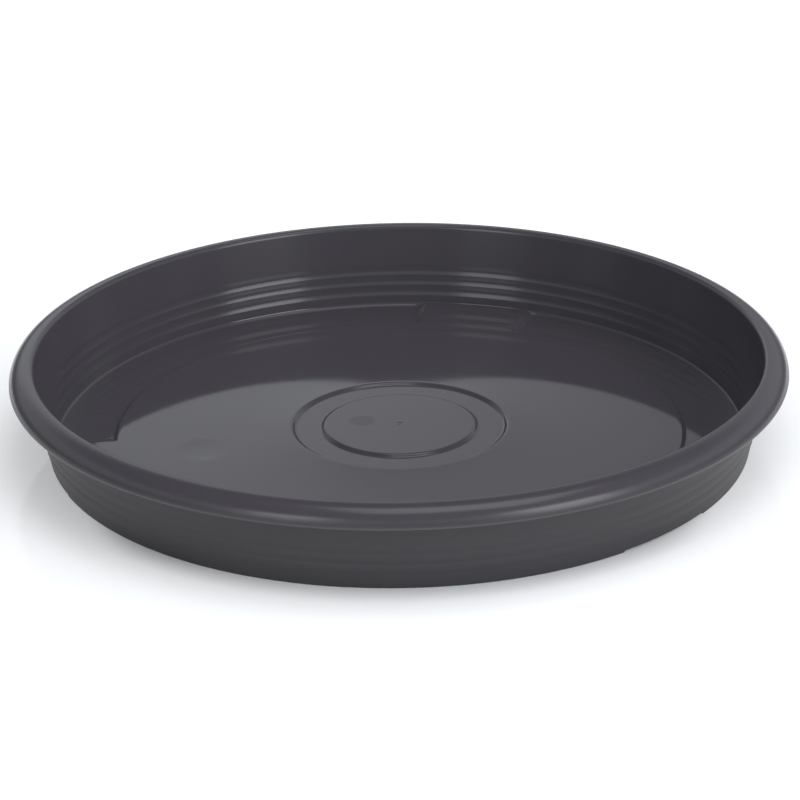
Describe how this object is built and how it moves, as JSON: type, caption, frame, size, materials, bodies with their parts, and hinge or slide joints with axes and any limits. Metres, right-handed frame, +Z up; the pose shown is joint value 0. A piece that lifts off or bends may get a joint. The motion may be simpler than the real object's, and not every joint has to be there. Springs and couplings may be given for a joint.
{
  "type": "plant saucer",
  "caption": "Round shallow dish with a rolled rim, a ribbed leaning wall, a notched foot and a raised floor, set under a plant pot to catch water.",
  "frame": {"origin": "on the saucer's axis, in the plane its foot stands on", "axes": "+Z up along the saucer's axis; +X and +Y lie in the plane it stands on, with the foot's notches centred at 75, 195 and 315 degrees from +X towards +Y"},
  "size_m": [0.3, 0.2996, 0.036],
  "materials": {
    "slate_plastic": "dark slate grey polypropylene, polished mould finish, smooth on the floor and satin on the outer wall"
  },
  "bodies": {
    "root": {"saucer": "slate_plastic"}
  },
  "joints": []
}
